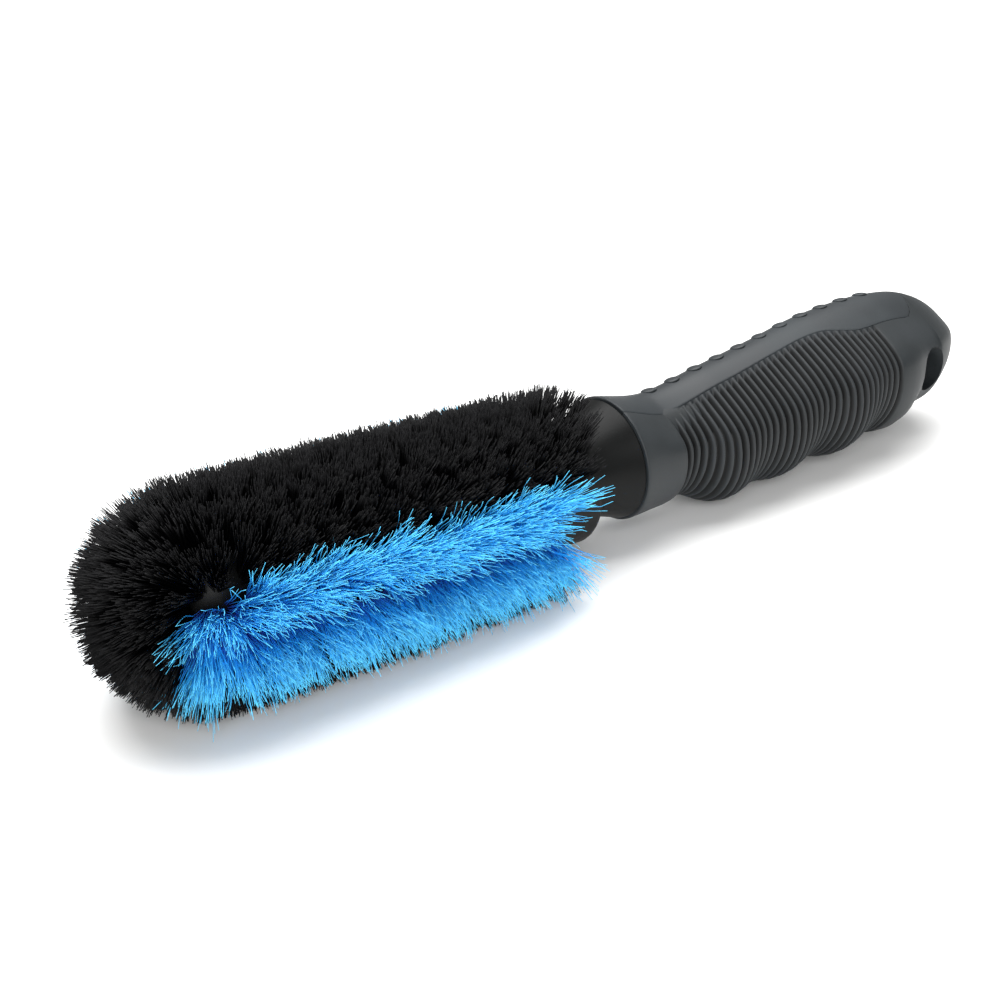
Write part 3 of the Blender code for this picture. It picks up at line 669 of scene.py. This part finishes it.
# %% [markdown]
# ## Core: bristle block, neck and tang
#
# The core is one stiff moulding. A neck flares back to the grip, and an oval block with a domed
# nose carries the bristles. Both are skinned from rings and joined by a Boolean, because on the
# real part they meet in a crisp line too.

# %% Block and neck
BLOCK_REAR = 9.0
BLOCK_CENTRE_DROP = 1.5
BLOCK_HALF_WIDTH = 11.5
BLOCK_HALF_HEIGHT = 14.0
NOSE_CENTRE = 110.0
NOSE_DOME = 12.0
REAR_ROUND = 3.0
NECK_RADIUS = 15.3
NECK_WAIST = 11.5
NECK_TAPER = 13.0
FLARE_POWER = 1.3   # above 1 the neck widens late, close to the grip
CORE_STEPS = 96


def block_point(latitude, angle, rise=0.0):
    """Point of the block's domed nose; at latitude 0 it is the block's straight side."""
    a, b = radians(angle), radians(latitude)
    return Vector((-NOSE_CENTRE - (NOSE_DOME + rise) * sin(b),
                   -(BLOCK_HALF_WIDTH + rise) * cos(a) * cos(b),
                   (BLOCK_HALF_HEIGHT + rise) * sin(a) * cos(b) - BLOCK_CENTRE_DROP))


core_turns = [360.0 * k / CORE_STEPS for k in range(CORE_STEPS)]
block_rings = []
for turn in np.linspace(0.0, pi / 2, 9):
    x = -BLOCK_REAR - REAR_ROUND * (1 - cos(turn))
    block_rings.append([Vector((x, p.y, p.z)) for p in
                        (block_point(0.0, a, -REAR_ROUND * (1 - sin(turn))) for a in core_turns)])
for latitude in [0.0] + list(np.linspace(6.0, 88.0, 15)):
    block_rings.append([block_point(latitude, a) for a in core_turns])
block = finished_piece("bristle_block", skin_rings(block_rings), head_frame)
neck_profile = [(-NECK_TAPER - 5.0, NECK_WAIST - 1.5), (-NECK_TAPER, NECK_WAIST)]
neck_profile += [(-NECK_TAPER + (NECK_TAPER - 0.5) * t,
                  NECK_WAIST + (NECK_RADIUS - NECK_WAIST) * t**FLARE_POWER)
                 for t in np.linspace(0.1, 1.0, 12)]
neck_profile += [(-0.2, NECK_RADIUS - 0.12), (-0.1, NECK_RADIUS - 0.5), (-0.1, TANG_RADIUS - 0.3),
                 (SOCKET_END - 1.0, TANG_RADIUS * 0.9 - 0.3)]
neck_rings = [[Vector((x, -r * cos(radians(a)), r * sin(radians(a)))) for a in core_turns]
              for x, r in neck_profile]
neck = finished_piece("neck_and_tang", skin_rings(neck_rings), grip_frame)
weld = block.modifiers.new("neck", "BOOLEAN")
weld.operation = "UNION"
weld.solver = "EXACT"
weld.object = neck
core = baked_copy(block, "moulded_core")
bpy.data.objects.remove(neck)
core.data.materials.clear()
core.data.materials.append(polypropylene)
core.data.shade_smooth()
core.data.set_sharp_from_angle(angle=radians(40))
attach(core, "root")
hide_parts("brush_core")
print("core:", len(core.data.polygons), "faces")

# %% [markdown]
# ## Growing bristles
#
# Each tuft is a bundle of filaments folded and stapled into a hole of the block. The filaments leave
# the hole together, spread out, and are trimmed to a common outline. So the tree below starts from
# one point for each tuft, copies it for each filament, gives each copy a direction inside the
# tuft's spread, and looks along that direction for the trimming outline, which sets its length.
# Filaments cling together in strands, so each strand draws its direction once and its filaments
# stray from it a little. Last, the filaments bend, and none passes below the surface that the brush
# lies on.

# %% The bristle tree
WAVE_TURNS = 9.0   # radians of wave along one filament
BRISTLE_INPUTS = (
    ("Bristles per tuft", "NodeSocketInt"), ("Strands per tuft", "NodeSocketInt"),
    ("Tuft radius", "NodeSocketFloat"), ("Spread along", "NodeSocketFloat"),
    ("Spread across", "NodeSocketFloat"), ("Stray", "NodeSocketFloat"), ("Thickness", "NodeSocketFloat"),
    ("Tip share", "NodeSocketFloat"), ("Length scatter", "NodeSocketFloat"), ("Bend", "NodeSocketFloat"),
    ("Wave", "NodeSocketFloat"), ("Segments", "NodeSocketInt"), ("Trim outline", "NodeSocketObject"),
    ("Surface height", "NodeSocketFloat"), ("Seed", "NodeSocketInt"), ("Finish", "NodeSocketMaterial"))


def bristle_tree():
    tree = bpy.data.node_groups.new("tuft_bristles", "GeometryNodeTree")
    tree.is_modifier = True
    tree.interface.new_socket("Geometry", in_out="INPUT", socket_type="NodeSocketGeometry")
    for name, kind in BRISTLE_INPUTS:
        tree.interface.new_socket(name, in_out="INPUT", socket_type=kind)
    tree.interface.new_socket("Geometry", in_out="OUTPUT", socket_type="NodeSocketGeometry")
    given = tree.nodes.new("NodeGroupInput").outputs
    seed_steps = iter(range(1, 20))

    def number(operation, a, b=0.0, c=0.0):
        return add_node(tree, "ShaderNodeMath", {"operation": operation}, {0: a, 1: b, 2: c}).outputs[0]

    def vector(operation, a, b=(0.0, 0.0, 0.0)):
        return add_node(tree, "ShaderNodeVectorMath", {"operation": operation},
                        {0: a, 1: b}).outputs["Vector"]

    def scaled(a, scale):
        return add_node(tree, "ShaderNodeVectorMath", {"operation": "SCALE"},
                        {0: a, "Scale": scale}).outputs["Vector"]

    def chance(low, high, owner):
        seed = number("ADD", given["Seed"], float(next(seed_steps) * 101))
        return add_node(tree, "FunctionNodeRandomValue", {"data_type": "FLOAT"},
                        {2: low, 3: high, "ID": owner, "Seed": seed}).outputs[1]

    def chance_vector(owner):
        seed = number("ADD", given["Seed"], float(next(seed_steps) * 101))
        return add_node(tree, "FunctionNodeRandomValue", {"data_type": "FLOAT_VECTOR"},
                        {0: (-1.0, -1.0, -1.0), 1: (1.0, 1.0, 1.0), "ID": owner, "Seed": seed}).outputs[0]

    def kept(geometry, name, kind, value):
        return add_node(tree, "GeometryNodeStoreNamedAttribute", {"data_type": kind, "domain": "POINT"},
                        {"Geometry": geometry, "Name": name, "Value": value}).outputs["Geometry"]

    def named(name, kind):
        return add_node(tree, "GeometryNodeInputNamedAttribute", {"data_type": kind},
                        {"Name": name}).outputs["Attribute"]

    index = add_node(tree, "GeometryNodeInputIndex").outputs["Index"]
    points = add_node(tree, "GeometryNodeMeshToPoints", {}, {"Mesh": given["Geometry"]}).outputs["Points"]
    points = kept(points, "tuft", "INT", index)
    points = add_node(tree, "GeometryNodeDuplicateElements", {"domain": "POINT"},
                      {"Geometry": points, "Amount": given["Bristles per tuft"]}).outputs["Geometry"]

    # Which strand a filament belongs to, and the strand's place in the tuft's round section
    pick = number("FLOOR", number("MULTIPLY", chance(0.0, 0.9999, index), given["Strands per tuft"]))
    strand = number("MULTIPLY_ADD", named("tuft", "INT"), 97.0, pick)
    points = kept(points, "strand", "INT", strand)
    strand = named("strand", "INT")
    reach = number("SQRT", chance(0.0, 1.0, strand))
    turn = chance(0.0, 2 * pi, strand)
    place_a = number("MULTIPLY", reach, number("COSINE", turn))
    place_b = number("MULTIPLY", reach, number("SINE", turn))
    own = add_node(tree, "ShaderNodeSeparateXYZ", {}, {"Vector": chance_vector(index)}).outputs

    axis = named("tuft_axis", "FLOAT_VECTOR")
    side = named("tuft_side", "FLOAT_VECTOR")
    across = vector("CROSS_PRODUCT", axis, side)
    lean_a = number("MULTIPLY_ADD", place_a, given["Spread along"],
                    number("MULTIPLY", own["X"], given["Stray"]))
    lean_b = number("MULTIPLY_ADD", place_b, given["Spread across"],
                    number("MULTIPLY", own["Y"], given["Stray"]))
    lean = vector("ADD", scaled(side, lean_a), scaled(across, lean_b))
    points = kept(points, "heading", "FLOAT_VECTOR", vector("NORMALIZE", vector("ADD", axis, lean)))
    offset_a = number("MULTIPLY", number("MULTIPLY_ADD", own["X"], 0.35, number("MULTIPLY", place_a, 0.7)),
                      given["Tuft radius"])
    offset_b = number("MULTIPLY", number("MULTIPLY_ADD", own["Y"], 0.35, number("MULTIPLY", place_b, 0.7)),
                      given["Tuft radius"])
    offset = vector("ADD", scaled(side, offset_a), scaled(across, offset_b))
    points = add_node(tree, "GeometryNodeSetPosition", {},
                      {"Geometry": points, "Offset": offset}).outputs["Geometry"]

    # Length up to the trimming outline
    outline = add_node(tree, "GeometryNodeObjectInfo", {"transform_space": "ORIGINAL"},
                       {"Object": given["Trim outline"]}).outputs["Geometry"]
    heading = named("heading", "FLOAT_VECTOR")
    look = add_node(tree, "GeometryNodeRaycast", {}, {"Target Geometry": outline, "Ray Direction": heading,
                                                      "Ray Length": 0.06})
    free = number("MULTIPLY", number("POWER", chance(0.0, 1.0, index), 2.0), given["Length scatter"])
    full = add_node(tree, "GeometryNodeSwitch", {"input_type": "FLOAT"},
                    {"Switch": look.outputs["Is Hit"], "False": 0.012, "True": look.outputs["Hit Distance"]})
    points = kept(points, "reach", "FLOAT",
                  number("MULTIPLY", full.outputs["Output"], number("SUBTRACT", 1.0, free)))
    points = kept(points, "tone", "FLOAT", chance(0.0, 1.0, index))
    wander = vector("ADD", scaled(chance_vector(strand), 0.7), scaled(chance_vector(index), 0.5))
    length = named("reach", "FLOAT")
    points = kept(points, "bend", "FLOAT_VECTOR",
                  scaled(wander, number("MULTIPLY", length, given["Bend"])))
    points = kept(points, "wave", "FLOAT_VECTOR",
                  scaled(chance_vector(index), number("MULTIPLY", length, given["Wave"])))
    points = kept(points, "phase", "FLOAT", chance(0.0, 2 * pi, index))

    # One filament: a slim three-sided body of unit length that tapers to its tip
    filament = add_node(tree, "GeometryNodeMeshCone", {"fill_type": "NGON"},
                        {"Vertices": 3, "Side Segments": given["Segments"],
                         "Radius Top": number("MULTIPLY", given["Tip share"], 0.5),
                         "Radius Bottom": 0.5, "Depth": 1.0}).outputs["Mesh"]
    place = add_node(tree, "GeometryNodeInputPosition").outputs[0]
    height = add_node(tree, "ShaderNodeSeparateXYZ", {}, {"Vector": place})
    filament = kept(filament, "along", "FLOAT", height.outputs["Z"])
    filament = add_node(tree, "GeometryNodeSetShadeSmooth", {}, {"Geometry": filament}).outputs["Geometry"]
    thick = number("MULTIPLY", given["Thickness"], chance(0.85, 1.15, index))
    size = add_node(tree, "ShaderNodeCombineXYZ", {}, {"X": thick, "Y": thick, "Z": length}).outputs["Vector"]
    turned = add_node(tree, "FunctionNodeAlignRotationToVector", {"axis": "Z"}, {"Vector": heading})
    grown = add_node(tree, "GeometryNodeInstanceOnPoints", {}, {
        "Points": points, "Instance": filament, "Rotation": turned.outputs["Rotation"], "Scale": size})
    mesh = add_node(tree, "GeometryNodeRealizeInstances", {},
                    {"Geometry": grown.outputs["Instances"]}).outputs["Geometry"]

    # Bend and wave grow towards the tip, and the tips stay above the surface
    along = named("along", "FLOAT")
    swing = scaled(named("bend", "FLOAT_VECTOR"), number("POWER", along, 2.0))
    swell = number("MULTIPLY_ADD", along, WAVE_TURNS, named("phase", "FLOAT"))
    ripple = number("MULTIPLY", number("SINE", swell), along)
    moved = vector("ADD", swing, scaled(named("wave", "FLOAT_VECTOR"), ripple))
    mesh = add_node(tree, "GeometryNodeSetPosition", {},
                    {"Geometry": mesh, "Offset": moved}).outputs["Geometry"]
    now = add_node(tree, "GeometryNodeInputPosition").outputs[0]
    parts = add_node(tree, "ShaderNodeSeparateXYZ", {}, {"Vector": now}).outputs
    lifted = add_node(tree, "ShaderNodeCombineXYZ", {}, {
        "X": parts["X"], "Y": parts["Y"], "Z": number("MAXIMUM", parts["Z"], given["Surface height"])})
    mesh = add_node(tree, "GeometryNodeSetPosition", {},
                    {"Geometry": mesh, "Position": lifted.outputs["Vector"]}).outputs["Geometry"]
    for name in ("tuft", "strand", "heading", "reach", "bend", "wave", "phase", "tuft_axis", "tuft_side"):
        mesh = add_node(tree, "GeometryNodeRemoveAttribute", {},
                        {"Geometry": mesh, "Name": name}).outputs["Geometry"]
    coated = add_node(tree, "GeometryNodeSetMaterial", {}, {"Geometry": mesh, "Material": given["Finish"]})
    add_node(tree, "NodeGroupOutput", {}, {"Geometry": coated.outputs["Geometry"]})
    return tree


tuft_bristles = bristle_tree()
print("bristle tree:", len(tuft_bristles.nodes), "nodes")

# %% [markdown]
# ## Where the bristles are trimmed
#
# The trimmed ends lie on a smooth outline round the head's axis: a long barrel with a domed front,
# cut level underneath, where the brush stands on its bristles. Black bristles are trimmed shorter
# than blue ones, so each length has an outline of its own, which is only a guide.

# %% Trim outlines
NOSE_REACH = 140.0
BLACK_RADIUS = 25.0
BLUE_RADIUS = 28.0
UNDER_RADIUS = 27.0
TUFT_NECK = 2.5      # height over the block at which the filaments of a tuft part
OUTLINE_STEPS = 72
REAR_PROFILE = ((-3.0, 0.5), (-4.5, 0.7), (-7.0, 0.86), (-11.0, 0.96), (-16.0, 1.0))


def surface_below(x):
    """Height in the head's frame of the surface under the brush."""
    return (HEAD_DROP - AXIS_HEIGHT) / cos(radians(HEAD_RISE)) + x * tan(radians(HEAD_RISE))


def outline_point(latitude, angle, x_back, radius):
    """Trimmed end of a bristle that leaves the block at this angle and latitude."""
    a, b = radians(angle), radians(latitude)
    root = block_point(latitude, angle, TUFT_NECK)
    root.x += NOSE_CENTRE - x_back
    reach = NOSE_REACH / cos(radians(HEAD_RISE)) - NOSE_CENTRE
    widest = Vector((-x_back - reach * sin(b), -BLUE_RADIUS * cos(a) * cos(b), BLUE_RADIUS * sin(a) * cos(b)))
    full = BLUE_RADIUS - (BLOCK_HALF_WIDTH + TUFT_NECK)
    share = (radius + (BLUE_RADIUS - radius) * sin(b) - (BLOCK_HALF_WIDTH + TUFT_NECK)) / full
    return root.lerp(widest, share)


def trim_outline(name, radius):
    rings = []
    turns = [360.0 * k / OUTLINE_STEPS for k in range(OUTLINE_STEPS)]
    for x, share in REAR_PROFILE:
        ring = [outline_point(0.0, a, -x, radius) for a in turns]
        rings.append([Vector((p.x, p.y * share, p.z * share)) for p in ring])
    for x_back in np.linspace(20.0, NOSE_CENTRE, 12):
        rings.append([outline_point(0.0, a, x_back, radius) for a in turns])
    for latitude in np.linspace(6.0, 89.0, 16):
        rings.append([outline_point(latitude, a, NOSE_CENTRE, radius) for a in turns])
    for ring in rings:
        for p in ring:
            p.z = max(p.z, surface_below(p.x))
    guide = finished_piece(name, skin_rings(rings), head_frame)
    guide.hide_render = True
    return guide


OUTLINES = {"top": trim_outline("short_trim_guide", BLACK_RADIUS),
            "blue": trim_outline("long_trim_guide", BLUE_RADIUS),
            "under": trim_outline("under_trim_guide", UNDER_RADIUS)}
print("trim guides:", [g.name for g in OUTLINES.values()])

# %% [markdown]
# ## Twelve rows and seven nose tufts
#
# The stiff black bristles stand rather straight. The soft blue ones fan wide along both sides, the
# upper row upwards and the lower row down to the surface, with a parting between them where the
# roots show. Tufts stand five millimetres apart. The rearmost black tufts on top lean back over the
# neck, while the blue rows begin further forward and leave the neck clear.

# %% Rows of tufts
TUFT_PITCH = 5.0
FIRST_ROOT = 20.0
ROOT_DEPTH = 1.0      # depth of the roots below the block's skin
FORWARD_LEAN = 0.06   # lean towards the nose that a row gains over its length
LEANING_TUFTS = 2.0   # number of tufts at the rear of a row over which its rear lean fades
TIP_CLEARANCE = 0.15  # height of the lowest tips above the surface
ROWS = (   # CAD node, angle of its roots, angle that the bristles lean to, first root, rear lean, kind
    ("black_row_top_centre", 90.0, 90.0, FIRST_ROOT, 0.6, "top"),
    ("black_row_top_left", 62.0, 74.0, FIRST_ROOT, 0.3, "top"),
    ("black_row_top_right", 118.0, 106.0, FIRST_ROOT, 0.3, "top"),
    ("black_row_shoulder_left", 34.0, 56.0, FIRST_ROOT + 3.0, 0.0, "top"),
    ("black_row_shoulder_right", 146.0, 124.0, FIRST_ROOT + 3.0, 0.0, "top"),
    ("blue_row_upper_left", 7.0, 29.0, FIRST_ROOT + 13.0, 0.0, "blue"),
    ("blue_row_upper_right", 173.0, 151.0, FIRST_ROOT + 13.0, 0.0, "blue"),
    ("blue_row_lower_left", -19.0, -22.0, FIRST_ROOT + 9.0, 0.0, "blue"),
    ("blue_row_lower_right", 199.0, 202.0, FIRST_ROOT + 9.0, 0.0, "blue"),
    ("black_row_under_left", -47.0, -56.0, FIRST_ROOT + 3.0, 0.0, "under"),
    ("black_row_under_right", 227.0, 236.0, FIRST_ROOT + 3.0, 0.0, "under"),
    ("black_row_under_centre", -90.0, -90.0, FIRST_ROOT + 3.0, 0.0, "under"))
LOOKS = {
    "top": {"Bristles per tuft": 150, "Strands per tuft": 20, "Tuft radius": 1.5 * MM, "Spread along": 0.28,
            "Spread across": 0.34, "Stray": 0.05, "Thickness": 0.26 * MM, "Tip share": 0.75,
            "Length scatter": 0.14, "Bend": 0.07, "Wave": 0.0, "Segments": 4},
    "blue": {"Bristles per tuft": 170, "Strands per tuft": 22, "Tuft radius": 1.6 * MM, "Spread along": 0.38,
             "Spread across": 0.36, "Stray": 0.08, "Thickness": 0.26 * MM, "Tip share": 0.45,
             "Length scatter": 0.25, "Bend": 0.16, "Wave": 0.035, "Segments": 7}}
LOOKS["under"] = dict(LOOKS["top"])
FINISHES = {"top": black_nylon, "blue": blue_filament, "under": black_nylon}


def outward(latitude, angle):
    """Direction of a bristle that points straight out round the head's axis."""
    a, b = radians(angle), radians(latitude)
    return Vector((-sin(b), -cos(a) * cos(b), sin(a) * cos(b)))


def grow_tufts(name, node, roots, kind, seed):
    """One piece of bristles from (root, axis, side) triples in the head's frame."""
    mesh = bpy.data.meshes.new(name)
    mesh.from_pydata([head_frame @ root for root, _, _ in roots], [], [])
    turn = head_frame.to_3x3().normalized()
    for label, k in (("tuft_axis", 1), ("tuft_side", 2)):
        store = mesh.attributes.new(label, "FLOAT_VECTOR", "POINT")
        store.data.foreach_set("vector", np.array([turn @ r[k] for r in roots], np.float32).ravel())
    seedling = bpy.data.objects.new(name + "_roots", mesh)
    put_in_scene(seedling)
    grow = seedling.modifiers.new("bristles", "NODES")
    grow.node_group = tuft_bristles
    set_inputs(grow, {**LOOKS[kind], "Trim outline": OUTLINES[kind], "Surface height": TIP_CLEARANCE * MM,
                      "Seed": seed, "Finish": FINISHES[kind]})
    made = baked_copy(seedling, name)
    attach(made, "root")
    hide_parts(node)
    return made


HEAD_AXIS = Vector((-1.0, 0.0, 0.0))
DOME_DROP = 0.9   # degrees that the soft bristles turn down for each degree round the block's nose
DOME_LATITUDES = {"top": (18.0, 38.0), "blue": (13.0, 32.0), "under": (18.0, 38.0)}
total = 0
for seed, (node, angle, lean_to, first_root, rear_lean, kind) in enumerate(ROWS):
    roots = []
    count = int((NOSE_CENTRE - first_root) / TUFT_PITCH) + 1
    for i in range(count):
        root = block_point(0.0, angle, -ROOT_DEPTH)
        root.x = -first_root - i * TUFT_PITCH
        axis = outward(0.0, lean_to)
        splay_back = rear_lean * clipped(1.0 - i / LEANING_TUFTS) - FORWARD_LEAN * (i / count)
        roots.append((root, (axis - HEAD_AXIS * splay_back).normalized(), HEAD_AXIS))
    for latitude in DOME_LATITUDES[kind]:
        drop = DOME_DROP * latitude if kind == "blue" else 0.0
        axis = outward(latitude, lean_to - drop if angle < 90.0 else lean_to + drop)
        side = (HEAD_AXIS - axis * HEAD_AXIS.dot(axis)).normalized()
        roots.append((block_point(latitude, angle, -ROOT_DEPTH), axis, side))
    grown = grow_tufts(node.replace("row", "bristles"), node, roots, kind, 11 + seed)
    total += len(grown.data.polygons)
print("rows grown:", len(ROWS), "faces so far", total)

# %% Tufts on the nose
NOSE_TUFT_COUNT = 6
OUTER_LATITUDE = 54.0
INNER_LATITUDE = 70.0
OUTER_HALF_STEP = 15.0
sideways = Vector((0.0, 1.0, 0.0))
centre_root = (block_point(90.0, 0.0, -ROOT_DEPTH), HEAD_AXIS, sideways)
centre = grow_tufts("nose_bristles_centre", "nose_tuft_centre", [centre_root], "top", 31)
total += len(centre.data.polygons)
for i in range(NOSE_TUFT_COUNT):
    middle = 360.0 * (i + 0.5) / NOSE_TUFT_COUNT
    kind = "top" if i < NOSE_TUFT_COUNT / 2 else "under"
    roots = []
    for latitude, angle in ((OUTER_LATITUDE, middle - OUTER_HALF_STEP),
                            (OUTER_LATITUDE, middle + OUTER_HALF_STEP), (INNER_LATITUDE, middle)):
        axis = outward(latitude, angle)
        side = (HEAD_AXIS - axis * HEAD_AXIS.dot(axis)).normalized()
        roots.append((block_point(latitude, angle, -ROOT_DEPTH), axis, side))
    tuft = grow_tufts(f"nose_bristles_{i + 1}", f"nose_tuft_{i + 1}", roots, kind, 41 + i)
    total += len(tuft.data.polygons)
for guide in OUTLINES.values():
    bpy.data.objects.remove(guide)
print("bristle faces in all:", total)
